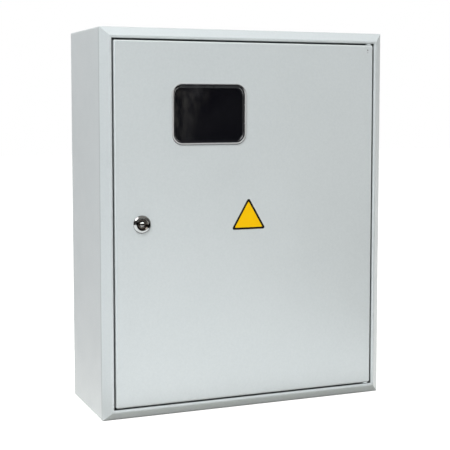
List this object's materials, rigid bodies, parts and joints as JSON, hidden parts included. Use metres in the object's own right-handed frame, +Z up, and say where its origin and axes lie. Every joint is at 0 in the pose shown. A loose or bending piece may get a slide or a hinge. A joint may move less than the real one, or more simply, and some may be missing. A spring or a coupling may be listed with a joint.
{
  "type": "electric meter box",
  "caption": "Wall-hung sheet-steel meter box: inset hinged door with a small window and a cam lock, and inside it a mounting plate, a rail and a terminal bar.",
  "frame": {"origin": "wall plane, at the centre of the four wall holes", "axes": "+Y into the wall, out of the back panel; +Z up; +X to the right of a person who faces the door"},
  "size_m": [0.4, 0.1531, 0.5],
  "materials": {
    "painted_steel": "light grey powder coat",
    "zinc": "zinc plated",
    "seal_foam": "foamed seal",
    "frame_plastic": "clear moulded plastic",
    "pane_plastic": "smoked clear plastic",
    "chrome": "chrome plated",
    "lock_metal": "dark nickel",
    "brass": "plain brass",
    "blue_plastic": "moulded",
    "sticker_film": "printed film",
    "spring_steel": "spring steel"
  },
  "bodies": {
    "case": {"back_panel": "painted_steel", "case_earth_nut": "zinc", "case_earth_stud": "zinc", "case_earth_washer": "zinc", "case_shell": "painted_steel", "mounting_plate": "zinc", "mounting_rail": "zinc", "neutral_bar": "brass", "neutral_bar_feet": "blue_plastic", "neutral_bar_screws": "zinc", "plate_nuts": "zinc", "plate_pillars": "zinc", "rail_screws": "zinc"},
    "door": {"door_panel": "painted_steel", "door_seal": "seal_foam", "window_frame": "frame_plastic", "window_pane": "pane_plastic", "lock_housing": "chrome", "lock_washer": "zinc", "lock_nut": "zinc", "triangle_sticker": "sticker_film", "door_earth_stud": "zinc", "door_earth_washer": "zinc", "door_earth_nut": "zinc", "hinge_bracket_bottom": "painted_steel", "hinge_bracket_top": "painted_steel", "hinge_clip_bottom": "spring_steel", "hinge_clip_top": "spring_steel", "hinge_pin_bottom": "zinc", "hinge_pin_top": "zinc", "hinge_spacer_bottom": "painted_steel", "hinge_spacer_top": "painted_steel"},
    "lock": {"lock_plug": "lock_metal", "lock_cam": "zinc", "cam_washer": "zinc", "cam_screw": "zinc"}
  },
  "joints": [
    {"name": "door_hinge", "type": "hinge", "parent": "case", "child": "door", "pos_m": [0.1779, -0.1457, 0], "axis": [0, 0, 1], "range_deg": [0, 120]},
    {"name": "lock_turn", "type": "hinge", "parent": "door", "child": "lock", "pos_m": [-0.148, -0.14, 0.0014], "axis": [0, 1, 0], "range_deg": [0, 90]}
  ]
}
